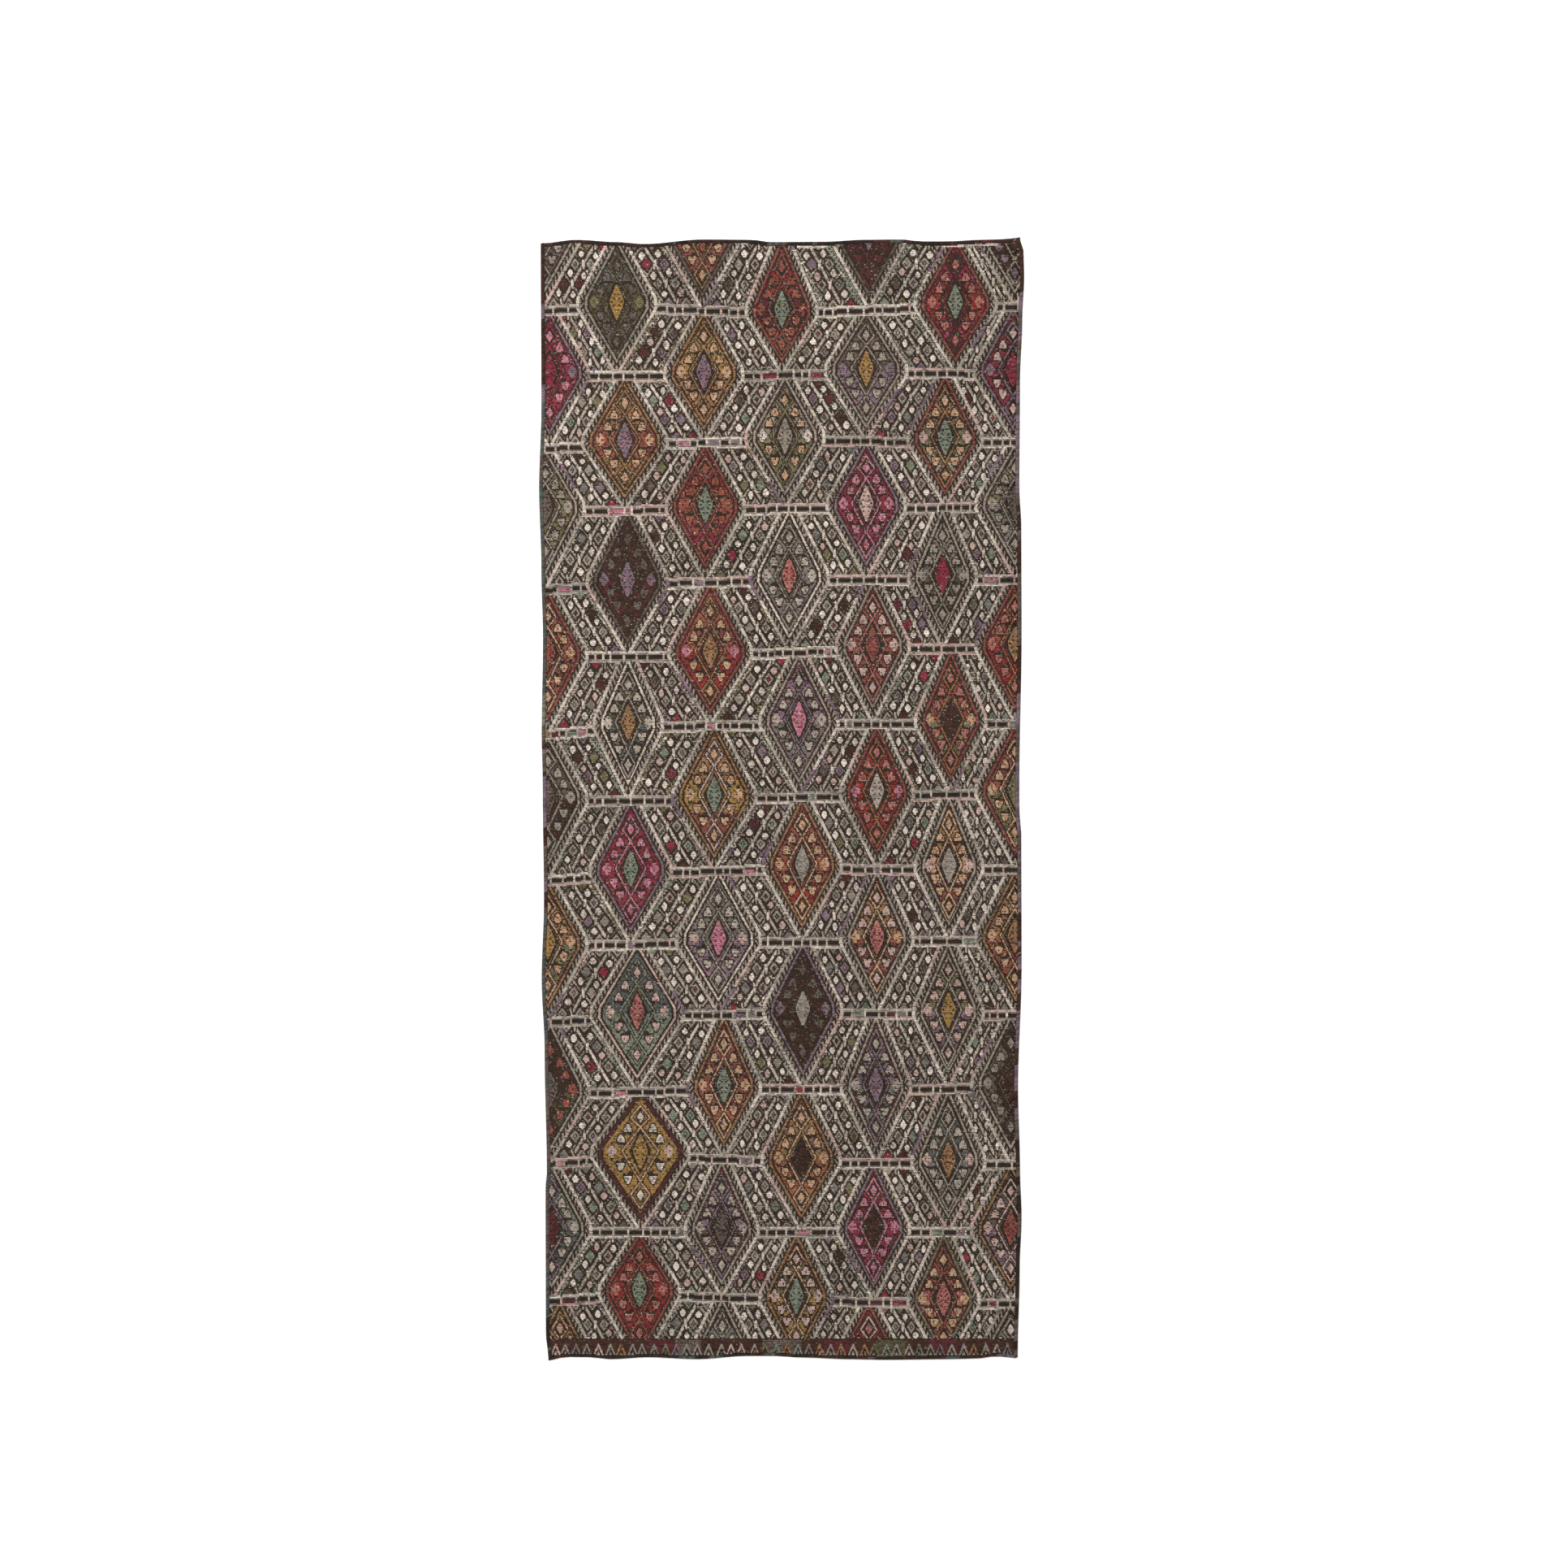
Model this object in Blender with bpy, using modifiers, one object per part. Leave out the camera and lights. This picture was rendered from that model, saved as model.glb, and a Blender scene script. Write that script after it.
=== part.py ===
# A kilim rug lying flat: one flat-woven wool cloth with brocade on it, and the wool overcast
# round its two side edges and its two ends.
#
# Metres, +Z up. Seen from above, +Y is the rug's top end and +X its right side. The origin is
# on the floor, under the middle of the rug's bounding box.

import bpy
import numpy as np

RUG_NAME = "kilim_rug"

# The straight rectangle that the hand-woven edges wander about.
RUG_WIDTH = 1.477
RUG_LENGTH = 3.438

CLOTH_THICKNESS = 0.004  # ground weave and brocade together

SIDE_BINDING_WIDTH = 0.011
SIDE_BINDING_THICKNESS = 0.005
SIDE_BINDING_ROUNDING = 0.0018

TOP_BINDING_WIDTH = 0.010
BOTTOM_BINDING_WIDTH = 0.008
END_BINDING_THICKNESS = 0.005
END_BINDING_ROUNDING = 0.0016

PIECE_GAP = 0.0003
OUTLINE_STEP = 0.030  # the longest stretch that an edge runs straight
WELD_DISTANCE = 0.0001
BEVEL_SEGMENTS = 2
BEVEL_ABOVE_DEGREES = 40

# How an edge wanders: (place along the edge from its middle, how far the edge stands out from
# the straight line there, inwards being negative). Sides run from the bottom end to the top
# end, ends run from the left side to the right side.
LEFT_SIDE = (
    (-1.720, -0.022),
    (-1.640, -0.014),
    (-1.190, -0.013),
    (-1.150, -0.017),
    (-0.765, -0.010),
    (-0.550, -0.001),
    (-0.315, -0.008),
    (0.060, -0.004),
    (0.200, -0.001),
    (0.500, -0.005),
    (0.710, 0.000),
    (0.960, 0.007),
    (1.210, 0.000),
    (1.720, 0.002),
)
RIGHT_SIDE = (
    (-1.720, -0.010),
    (-1.440, -0.004),
    (-1.290, 0.002),
    (-1.140, -0.003),
    (-0.890, -0.009),
    (-0.515, 0.002),
    (-0.115, 0.001),
    (-0.028, -0.005),
    (0.060, -0.005),
    (0.510, 0.002),
    (0.835, 0.001),
    (0.960, -0.005),
    (1.285, -0.003),
    (1.473, 0.004),
    (1.610, 0.010),
    (1.685, 0.008),
    (1.725, -0.003),
)
TOP_END = (
    (-0.740, -0.006),
    (-0.633, 0.005),
    (-0.508, -0.002),
    (-0.423, -0.008),
    (-0.243, 0.006),
    (-0.095, 0.005),
    (-0.033, -0.002),
    (0.130, -0.001),
    (0.255, 0.005),
    (0.368, 0.006),
    (0.430, 0.000),
    (0.508, 0.000),
    (0.618, 0.005),
    (0.695, 0.007),
    (0.730, 0.014),
)
BOTTOM_END = (
    (-0.725, 0.002),
    (-0.705, 0.008),
    (-0.665, -0.003),
    (-0.588, -0.002),
    (-0.523, 0.004),
    (-0.408, -0.002),
    (-0.258, 0.004),
    (-0.103, -0.006),
    (-0.023, -0.006),
    (0.070, -0.001),
    (0.210, 0.004),
    (0.320, 0.006),
    (0.508, 0.004),
    (0.603, 0.002),
    (0.665, -0.005),
    (0.710, 0.000),
)

# Colour (linear RGB), roughness and metallic of each wool.
CLOTH_WOOL = ((0.105, 0.062, 0.042), 0.92, 0.0)
SIDE_WOOL = ((0.120, 0.098, 0.090), 0.90, 0.0)
END_WOOL = ((0.045, 0.042, 0.040), 0.90, 0.0)


def wander(rows, place):
    """How far out an edge stands at each place, eased from one row of its table to the next."""
    places, outs = np.array(rows).T
    row = np.clip(np.searchsorted(places, place) - 1, 0, len(places) - 2)
    share = (place - places[row]) / (places[row + 1] - places[row])
    share = np.clip(share, 0.0, 1.0)
    eased = share * share * (3.0 - 2.0 * share)
    return outs[row] + (outs[row + 1] - outs[row]) * eased


def edge_line(rows, run, across, outward):
    """An edge as a chain of points: the place of each along the edge, and its distance from
    the rug's middle line. run is the edge's length, across the rug's size the other way, and
    outward is +1 for the top and right edges and -1 for the bottom and left ones."""
    count = round(run / OUTLINE_STEP) + 1
    places = np.linspace(-run / 2, run / 2, count)
    return places, outward * (across / 2 + wander(rows, places))


def moved(line, by):
    places, distances = line
    return places, distances + by


def crossing(side, end):
    """The point where a side line meets an end line."""
    y = end[1].mean()
    for _ in range(12):
        x = np.interp(y, *side)
        y = np.interp(x, *end)
    return x, y


def stretch(line, start, stop):
    """The line's points from place start to place stop, with start and without stop."""
    places = line[0]
    low, high = min(start, stop), max(start, stop)
    inner = places[(places > low) & (places < high)]
    if stop < start:
        inner = inner[::-1]
    chosen = np.concatenate([[start], inner])
    return chosen, np.interp(chosen, *line)


def outline_between(left, right, bottom, top):
    """The closed outline of the shape that two side lines and two end lines bound, turning
    anticlockwise from its bottom left corner."""
    bottom_left = crossing(left, bottom)
    bottom_right = crossing(right, bottom)
    top_right = crossing(right, top)
    top_left = crossing(left, top)
    x_bottom, y_bottom = stretch(bottom, bottom_left[0], bottom_right[0])
    y_right, x_right = stretch(right, bottom_right[1], top_right[1])
    x_top, y_top = stretch(top, top_right[0], top_left[0])
    y_left, x_left = stretch(left, top_left[1], bottom_left[1])
    x = np.concatenate([x_bottom, x_right, x_top, x_left])
    y = np.concatenate([y_bottom, y_right, y_top, y_left])
    return np.stack([x, y], axis=1)


def middle_of(outline):
    return (outline.min(axis=0) + outline.max(axis=0)) / 2


def wool(name, colour, roughness, metallic):
    material = bpy.data.materials.new(name)
    material.use_nodes = True
    shader = material.node_tree.nodes["Principled BSDF"]
    shader.inputs["Base Color"].default_value = (*colour, 1.0)
    shader.inputs["Roughness"].default_value = roughness
    shader.inputs["Metallic"].default_value = metallic
    material.diffuse_color = (*colour, 1.0)
    return material


def flat_piece(name, outline, thickness, material, collection, parent):
    """A flat outline extruded to its thickness, its underside on the floor."""
    middle = middle_of(outline)
    curve = bpy.data.curves.new(name, "CURVE")
    curve.dimensions = "2D"
    curve.fill_mode = "BOTH"
    curve.extrude = thickness / 2
    spline = curve.splines.new("POLY")
    spline.points.add(len(outline) - 1)
    for point, (x, y) in zip(spline.points, outline - middle):
        point.co = (x, y, 0.0, 1.0)
    spline.use_cyclic_u = True
    curve.materials.append(material)

    piece = bpy.data.objects.new(name, curve)
    piece.location = (*middle, thickness / 2)
    piece.parent = parent
    collection.objects.link(piece)

    weld = piece.modifiers.new("Join the faces to the rim", "WELD")
    weld.merge_threshold = WELD_DISTANCE
    return piece


def round_the_rims(piece, rounding):
    bevel = piece.modifiers.new("Round the overcast edge", "BEVEL")
    bevel.width = rounding
    bevel.segments = BEVEL_SEGMENTS
    bevel.limit_method = "ANGLE"
    bevel.angle_limit = np.radians(BEVEL_ABOVE_DEGREES)


def build_rug():
    collection = bpy.data.collections.new(RUG_NAME)
    bpy.context.scene.collection.children.link(collection)

    left = edge_line(LEFT_SIDE, RUG_LENGTH, RUG_WIDTH, -1)
    right = edge_line(RIGHT_SIDE, RUG_LENGTH, RUG_WIDTH, 1)
    bottom = edge_line(BOTTOM_END, RUG_WIDTH, RUG_LENGTH, -1)
    top = edge_line(TOP_END, RUG_WIDTH, RUG_LENGTH, 1)

    # The origin goes under the middle of the whole rug's box.
    rug = bpy.data.objects.new(RUG_NAME + "_middle", None)
    rug.location = (*-middle_of(outline_between(left, right, bottom, top)), 0.0)
    collection.objects.link(rug)

    # The ends butt between the side strips, and the cloth lies inside all four.
    cloth_left = moved(left, SIDE_BINDING_WIDTH + PIECE_GAP)
    cloth_right = moved(right, -SIDE_BINDING_WIDTH - PIECE_GAP)
    cloth_bottom = moved(bottom, BOTTOM_BINDING_WIDTH + PIECE_GAP)
    cloth_top = moved(top, -TOP_BINDING_WIDTH - PIECE_GAP)

    cloth = wool("brocaded_wool", *CLOTH_WOOL)
    outline = outline_between(cloth_left, cloth_right, cloth_bottom, cloth_top)
    flat_piece("woven_panel", outline, CLOTH_THICKNESS, cloth, collection, rug)

    side = wool("side_overcast_wool", *SIDE_WOOL)
    left_inside = moved(left, SIDE_BINDING_WIDTH)
    right_inside = moved(right, -SIDE_BINDING_WIDTH)
    sides = {
        "left_selvedge": outline_between(left, left_inside, bottom, top),
        "right_selvedge": outline_between(right_inside, right, bottom, top),
    }
    for name, outline in sides.items():
        strip = flat_piece(name, outline, SIDE_BINDING_THICKNESS, side, collection, rug)
        round_the_rims(strip, SIDE_BINDING_ROUNDING)

    end = wool("end_overcast_wool", *END_WOOL)
    bottom_inside = moved(bottom, BOTTOM_BINDING_WIDTH)
    top_inside = moved(top, -TOP_BINDING_WIDTH)
    ends = {
        "bottom_end_binding": outline_between(cloth_left, cloth_right, bottom, bottom_inside),
        "top_end_binding": outline_between(cloth_left, cloth_right, top_inside, top),
    }
    for name, outline in ends.items():
        strip = flat_piece(name, outline, END_BINDING_THICKNESS, end, collection, rug)
        round_the_rims(strip, END_BINDING_ROUNDING)


for old_object in list(bpy.data.objects):
    bpy.data.objects.remove(old_object, do_unlink=True)
build_rug()
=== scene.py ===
# The looks of a hand-woven wool kilim that lies flat, seen from straight above.
# Lengths are in millimetres up to the moment a mesh is made, and up is towards the top end.

import math

import bpy
import numpy as np
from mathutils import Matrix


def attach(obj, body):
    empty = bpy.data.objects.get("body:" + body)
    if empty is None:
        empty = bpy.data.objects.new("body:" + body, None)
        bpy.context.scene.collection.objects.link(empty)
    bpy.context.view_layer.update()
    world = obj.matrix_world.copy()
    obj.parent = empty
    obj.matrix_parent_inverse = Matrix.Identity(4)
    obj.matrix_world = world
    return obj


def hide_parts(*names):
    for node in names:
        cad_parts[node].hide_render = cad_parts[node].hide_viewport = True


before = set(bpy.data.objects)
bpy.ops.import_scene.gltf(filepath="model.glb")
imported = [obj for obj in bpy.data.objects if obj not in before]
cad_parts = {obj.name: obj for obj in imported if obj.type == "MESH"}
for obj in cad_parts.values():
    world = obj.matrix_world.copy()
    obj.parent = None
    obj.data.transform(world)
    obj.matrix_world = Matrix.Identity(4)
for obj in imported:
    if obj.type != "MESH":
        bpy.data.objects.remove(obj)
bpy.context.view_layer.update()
print("frame loaded")

scene = bpy.context.scene
chance = np.random.default_rng(11)


def linear(hexColour, lightness=1.0):
    # an sRGB hex colour as Blender's linear one
    parts = [int(hexColour[i : i + 2], 16) / 255 for i in (1, 3, 5)]
    parts = [p / 12.92 if p <= 0.04045 else ((p + 0.055) / 1.055) ** 2.4 for p in parts]
    return [min(p * lightness, 1.0) for p in parts] + [1.0]


def addNode(tree, kind, inputs=None, **settings):
    # inputs are sockets by name or number, each set to a value or joined to an output; the
    # numbers are a Math node's values, and 0, 6 and 7 are a colour Mix's share and two colours
    node = tree.nodes.new("ShaderNode" + kind)
    for key, value in settings.items():
        setattr(node, key, value)
    for key, value in (inputs or {}).items():
        if isinstance(value, bpy.types.NodeSocket):
            tree.links.new(value, node.inputs[key])
        else:
            node.inputs[key].default_value = value
    return node


def newMaterial(name):
    material = bpy.data.materials.new(name)
    material.use_nodes = True
    material.node_tree.nodes.clear()
    return material, material.node_tree


def meshFrom(name, points, quads, triangles=()):
    triangles = np.reshape(triangles, (-1, 3)).astype(np.int32)
    corners = np.concatenate([quads.ravel(), triangles.ravel()]).astype(np.int32)
    starts = np.arange(len(quads)) * 4
    more = len(quads) * 4 + np.arange(len(triangles)) * 3
    starts = np.concatenate([starts, more]).astype(np.int32)
    mesh = bpy.data.meshes.new(name)
    mesh.vertices.add(len(points))
    mesh.vertices.foreach_set("co", (np.asarray(points, np.float32) / 1000).ravel())
    mesh.loops.add(len(corners))
    mesh.loops.foreach_set("vertex_index", corners)
    mesh.polygons.add(len(starts))
    mesh.polygons.foreach_set("loop_start", starts)
    mesh.update(calc_edges=True)
    mesh.shade_smooth()
    return mesh


def addTint(mesh, values):
    # how far each point's yarn is from the mean of its dye, 0 to 1; on stitches and wraps it also
    # holds painted shade, darker at their feet and waists
    layer = mesh.attributes.new("tint", "FLOAT", "POINT")
    layer.data.foreach_set("value", np.asarray(values, np.float32))


def addMap(mesh, places):
    # a place on the flat map for each corner of each face
    layer = mesh.uv_layers.new(name="OFBake")
    layer.uv.foreach_set("vector", np.asarray(places, np.float32).ravel())


def cornersOf(mesh):
    found = np.empty(len(mesh.loops), np.int32)
    mesh.loops.foreach_get("vertex_index", found)
    return found


def addPiece(name, mesh, material):
    piece = bpy.data.objects.new(name, mesh)
    scene.collection.objects.link(piece)
    mesh.materials.append(material)
    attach(piece, "root")
    return piece


# The cloth's outline is read from the CAD: how far across or up each of its four edges stands.
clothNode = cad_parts["woven_panel"]
rim = np.array([v.co[:] for v in clothNode.data.vertices]) * 1000
rim = np.unique(rim[rim[:, 2] > rim[:, 2].mean()][:, :2].round(3), axis=0)
clothLow, clothHigh = rim.min(axis=0), rim.max(axis=0)
sideBand = 45  # no point of an edge stands further in than this
cornerGap = 14  # and none but the corners is nearer to an end than this


def edgeOf(along, outward):
    # the edge on one side, as places along it and how far out it stands at each
    across = 1 - along
    corners = [rim[np.argmax(rim[:, across] * outward + rim[:, along] * way)] for way in (-1, 1)]
    between = rim[:, along] > corners[0][along] + cornerGap
    between &= rim[:, along] < corners[1][along] - cornerGap
    limit = clothHigh[across] if outward > 0 else clothLow[across]
    between &= abs(rim[:, across] - limit) < sideBand
    points = np.array([corners[0], *rim[between], corners[1]])
    points = points[np.argsort(points[:, along])]
    return points[:, along], points[:, across]


edges = {
    "left": edgeOf(1, -1),
    "right": edgeOf(1, 1),
    "bottom": edgeOf(0, -1),
    "top": edgeOf(0, 1),
}


def edge(name, place):
    return np.interp(place, *edges[name])


# The weaver's chart: one cell for each step across of each row of brocade, holding the number
# of its yarn. All of it is drawn below from a few motifs, as a weaver counts them out.
weave = {
    "rowPitch": 4.0,  # from one row of brocade to the next
    "column": 1.25,  # the finest step that a stitch's end moves by
    "halfWidth": 750.0,
    "halfLength": 1740.0,
}

# Natural and plant-dyed wools, each as its batch of dye came out.
yarns = {
    "white": "#cec1b5",
    "ecru": "#bfb2a4",
    "sand": "#a3978a",
    "oat": "#8f8478",
    "putty": "#857a6e",
    "grey": "#6f6963",
    "taupe": "#5c5047",
    "slate": "#50544f",
    "moss": "#504b36",
    "sage": "#737a69",
    "olive": "#6a6447",
    "gold": "#92723f",
    "camel": "#8a6747",
    "tan": "#b48f71",
    "orange": "#90593f",
    "rust": "#874c3e",
    "brick": "#7e463b",
    "coral": "#9f655d",
    "red": "#862d29",
    "crimson": "#802b3b",
    "pink": "#ad6f7c",
    "rose": "#b2968c",
    "mauve": "#75616a",
    "maroon": "#55282b",
    "brown": "#41291f",
    "charcoal": "#2e231b",
}
yarnCode = {name: code + 1 for code, name in enumerate(yarns)}  # 0 is bare ground

rowUp = np.arange(weave["halfLength"], -weave["halfLength"], -weave["rowPitch"])
columnAcross = np.arange(-weave["halfWidth"], weave["halfWidth"], weave["column"])
chart = np.zeros((len(rowUp), len(columnAcross)), np.uint8)


def block(left, right, low, high):
    # the part of the chart inside a box, and the places of its cells
    rows = slice(*np.searchsorted(-rowUp, (-high, -low)))
    columns = slice(*np.searchsorted(columnAcross, (left, right)))
    return (rows, columns), columnAcross[columns][None, :], rowUp[rows][:, None]


def paint(cells, inside, yarn):
    part = chart[cells]
    part[np.broadcast_to(inside, part.shape)] = yarnCode.get(yarn, 0)


def line(points, thickness, yarn):
    half = thickness / 2
    for (x0, y0), (x1, y1) in zip(points, points[1:]):
        left, right = sorted((x0, x1))
        low, high = sorted((y0, y1))
        cells, x, y = block(left - half, right + half, low - half, high + half)
        length = max(math.hypot(x1 - x0, y1 - y0), 0.01)
        ux, uy = (x1 - x0) / length, (y1 - y0) / length
        along = np.clip((x - x0) * ux + (y - y0) * uy, 0, length)
        away = np.hypot(x - x0 - along * ux, y - y0 - along * uy)
        paint(cells, away <= half, yarn)


def lozenge(across, up, halfWidth, halfHeight, yarn, blunt=1.0):
    # blunt is 1 for sharp points, and more for points that are cut off
    cells, x, y = block(across - halfWidth, across + halfWidth, up - halfHeight, up + halfHeight)
    paint(cells, abs(x - across) / halfWidth + abs(y - up) / halfHeight <= blunt, yarn)


def tuft(across, up, halfWidth, halfHeight, point, yarn):
    # a small stepped triangle with a blunt point, up (1) or down (-1), 0.3 as wide as its base
    cells, x, y = block(across - halfWidth, across + halfWidth, up - halfHeight, up + halfHeight)
    rise = (y - up) * point / halfHeight  # -1 at the base, 1 at the point
    paint(cells, abs(x - across) <= halfWidth * np.minimum(1, 0.6 * (1.5 - rise)), yarn)


def enlarged(coarse, wide, tall, size):
    # each value over a patch of cells, cut to size
    return np.repeat(np.repeat(coarse, tall, 0), wide, 1)[: size[0], : size[1]]


# The medallions, row by row from the top end: place across and up from the rug's middle and
# how much wider than usual each side stands, all in mm, then the yarns of the field (top to
# bottom), spots (inner/side), fine line, ring and heart.
beyond = (0, "olive", "ecru", "oat", "oat", "brown")  # past the side edges: only its panels show
medallionRows = [
    [
        (-738, 1740, 0, "brick/taupe", "oat", "oat", "putty", "brown"),
        (-245, 1740, 0, "camel/brick", "tan", "taupe", "camel", "brick"),
        (268, 1745, 0, "brown", "maroon", "taupe", "maroon", "mauve"),
        (718, 1740, 0, "maroon/brown", "mauve", "oat", "putty", "brown"),
    ],
    [
        (-1020, 1500, *beyond),
        (-508, 1530, 0, "slate/moss/taupe", "taupe/olive", "putty", "moss", "gold"),
        (0, 1508, -11, "red/maroon/rust", "rust", "brick", "brick", "sage"),
        (535, 1530, 5, "crimson/red/crimson", "coral", "brick", "maroon", "sage"),
        (1040, 1530, *beyond),
    ],
    [
        (-715, 1315, 0, "crimson", "pink/mauve", "mauve", "crimson", "crimson"),
        (-240, 1315, 0, "gold/camel", "tan", "camel", "camel", "mauve"),
        (260, 1325, 5, "taupe/mauve", "oat/mauve", "putty", "putty", "gold"),
        (712, 1322, 0, "crimson", "rose/mauve", "mauve", "mauve", "crimson"),
    ],
    [
        (-985, 1080, *beyond),
        (-483, 1105, 10, "camel/brick/camel", "tan", "camel", "camel", "mauve"),
        (10, 1118, 0, "putty/olive", "tan/ecru", "oat", "olive", "putty"),
        (503, 1113, -6, "camel/olive/putty", "tan/rose", "brick", "camel", "sage"),
        (1010, 1113, *beyond),
    ],
    [
        (-728, 900, 0, "olive", "oat", "oat", "oat", "taupe"),
        (-235, 905, 0, "red/rust/crimson", "rust", "brick", "rust", "sage"),
        (260, 910, 0, "crimson", "pink", "mauve", "pink", "rose"),
        (718, 912, 0, "olive/grey", "oat", "oat", "putty", "taupe"),
    ],
    [
        (-980, 640, *beyond),
        (-475, 675, 4, "brown/maroon", "taupe/mauve", "taupe", "brown", "mauve"),
        (23, 688, 0, "grey", "sand", "ecru", "putty", "coral"),
        (495, 690, -16, "grey/moss", "oat", "oat", "putty", "crimson"),
        (1000, 690, *beyond),
    ],
    [
        (-720, 450, 0, "rust/brick", "tan", "brick", "tan", "rust"),
        (-220, 455, 7, "rust/red", "tan/pink", "brick", "camel", "camel"),
        (280, 475, -8, "brick", "rose", "putty", "coral", "brick"),
        (718, 478, 0, "rust/red", "coral", "brick", "orange", "camel"),
    ],
    [
        (-975, 190, *beyond),
        (-473, 235, -15, "moss/slate", "sand", "ecru", "putty", "camel"),
        (53, 245, 0, "mauve/grey", "sand", "oat", "mauve", "pink"),
        (520, 245, -12, "rust/olive", "coral/tan", "brick", "orange", "brown"),
        (1020, 245, *beyond),
    ],
    [
        (-720, 5, 0, "taupe/brown", "oat", "oat", "putty", "taupe"),
        (-208, 13, 8, "camel/gold/brick", "tan", "camel", "rose", "sage"),
        (293, 25, -8, "red", "coral/pink", "brick", "orange", "sand"),
        (718, 30, 0, "rust/olive", "tan", "brick", "tan", "olive"),
    ],
    [
        (-960, -260, *beyond),
        (-465, -215, 5, "crimson", "pink", "mauve", "pink", "sage"),
        (63, -200, 0, "brick/rust/red", "tan", "camel", "tan", "oat"),
        (515, -203, -16, "camel/tan/brick", "tan/rose", "oat", "tan", "oat"),
        (1010, -203, *beyond),
    ],
    [
        (-720, -440, 0, "camel/olive", "tan", "camel", "tan", "gold"),
        (-195, -428, 9, "grey/mauve", "sand/rose", "ecru", "oat", "pink"),
        (293, -425, -9, "camel/brick", "rose/tan", "oat", "tan", "coral"),
        (718, -420, 0, "camel/rust", "tan", "camel", "tan", "camel"),
    ],
    [
        (-955, -690, *beyond),
        (-445, -655, 22, "slate/sage", "rose", "rose", "sage", "coral"),
        (65, -645, 0, "brown", "taupe/mauve", "mauve", "brown", "oat"),
        (513, -650, -13, "olive/mauve", "rose", "oat", "oat", "gold"),
        (1010, -650, *beyond),
    ],
    [
        (-713, -895, 0, "brown/moss", "rust", "oat", "brown", "taupe"),
        (-178, -880, -8, "brick/rust", "tan", "camel", "tan", "sage"),
        (290, -880, -14, "mauve/grey", "sand", "oat", "mauve", "mauve"),
        (705, -875, 0, "taupe", "putty", "oat", "brown", "brown"),
    ],
    [
        (-940, -1130, *beyond),
        (-435, -1085, 30, "gold", "ecru/rose", "maroon", "tan", "gold"),
        (60, -1105, 0, "camel/orange", "tan", "camel", "tan", "brown"),
        (513, -1110, -8, "slate/grey", "sand/rose", "oat", "oat", "camel"),
        (1010, -1110, *beyond),
    ],
    [
        (-708, -1320, 0, "sage/slate", "sand", "oat", "mauve", "maroon"),
        (-185, -1320, -8, "mauve/taupe", "sand", "oat", "mauve", "taupe"),
        (283, -1318, -10, "crimson", "pink", "mauve", "pink", "brown"),
        (705, -1320, 0, "taupe/mauve", "rose", "camel", "rose", "brick"),
    ],
    [
        (-935, -1550, *beyond),
        (-438, -1510, 4, "red", "coral", "brick", "rust", "sage"),
        (45, -1530, -8, "olive/gold", "rose", "camel", "tan", "sage"),
        (498, -1538, -11, "brick/coral/camel", "tan", "olive", "rust", "coral"),
        (1000, -1538, *beyond),
    ],
    [
        (-683, -1745, 0, "camel/gold", "tan", "camel", "tan", "gold"),
        (-183, -1745, 0, "grey/olive", "sand", "oat", "oat", "brown"),
        (268, -1745, 0, "red", "coral", "brick", "rose", "brown"),
        (705, -1745, 0, "grey", "ecru", "oat", "oat", "brown"),
    ],
]

# One medallion at its usual size, about its middle. Depths run in from the middle of its rope.
shape = {
    "up": 187,  # to the railway above
    "down": 212,  # to the railway below
    "sideUp": (-212, -20, 12, 187),  # heights of its corners
    "sideOut": (6, 121, 119, 30),  # and how far out they stand
    "girthShare": (0, 1, 1, 0.15),  # how much of a wider medallion's girth each takes
    "rope": 5.0,  # half its thickness
    "ropeYarns": "ecru ecru ecru ecru ecru sand sand sand rose mauve",
    "ropeRun": 75,  # how far up the rope one length of yarn reaches
    "teeth": 17,  # how deep the pale teeth inside the rope reach
    "ladder": 22.5,  # from here to the teeth the ground shows as a dark line
    "fineLine": 29.5,  # and from here to the ladder runs a fine line
    "darkBand": 37,  # then dark beads, and here the field starts
    "tooth": 16,  # from one tooth to the next
    "toothLean": 1.27,
    "toothShare": 0.55,
    "bead": 0.5,
    "fieldTop": 150,  # from here down, the field's yarns follow each other
    "fieldTall": 310,
    "lattice": (20, 24),  # the little dark openings in the field
    "opening": 0.15,
}
# What its field holds, as far across and up from its middle. Sizes are half of the whole.
motif = {
    "spots": ((31, 79, 1), (48, 43, 1), (49, -43, -1), (31, -78, -1)),  # 1 points up, -1 down
    "spot": (11.5, 12.5),
    "spotGround": (15.5, 18),  # the dark ground round it
    "foot": (-6, -16),  # and its dark foot, from its own middle towards the heart
    "footSize": (9, 9),
    "footBlunt": 1.2,
    "sideAt": 70,
    "sideSpotUp": -1,
    "sideSpot": (14, 20),
    "sideBlunt": 1.15,
    "sideGapsUp": (20, -22),
    "sideGap": (7, 9),
    "endSpotsUp": (117, -121),
    "endSpot": (11, 18),
    "endSpotGround": (16, 26),
    "ring": ((0, -159), (24, -119), (0, -84), (-45, 0), (0, 82), (24, 115), (0, 156)),
    "ringThick": 5.0,
    "ringGround": 12,
    "heartUp": -1,
    "heartGround": (35, 70),
}
railway = {
    "lineApart": 28,  # between the middles of its two pale lines
    "lineThick": 8,
    "dash": 12,
    "yarns": "ecru ecru sand sand rose",
    "oddYarns": "crimson pink sage gold mauve maroon",
    "odd": 0.16,  # the share of its dashes that are in an odd yarn
    "oddLong": 0.8,  # how much of the way to the next tie such a dash fills
    "belowMiddle": 17,  # how far it runs below the middles of the medallions that it joins
    "tie": 36,  # about how far apart its ties stand
    "tieStep": (0.55, 1.4),  # the least and the most of that
    "firstTie": (0.5, 1),  # the same for the first of them
    "endGap": 12,  # with no tie nearer than this to its end
    "tieThick": 6.5,
}
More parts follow.
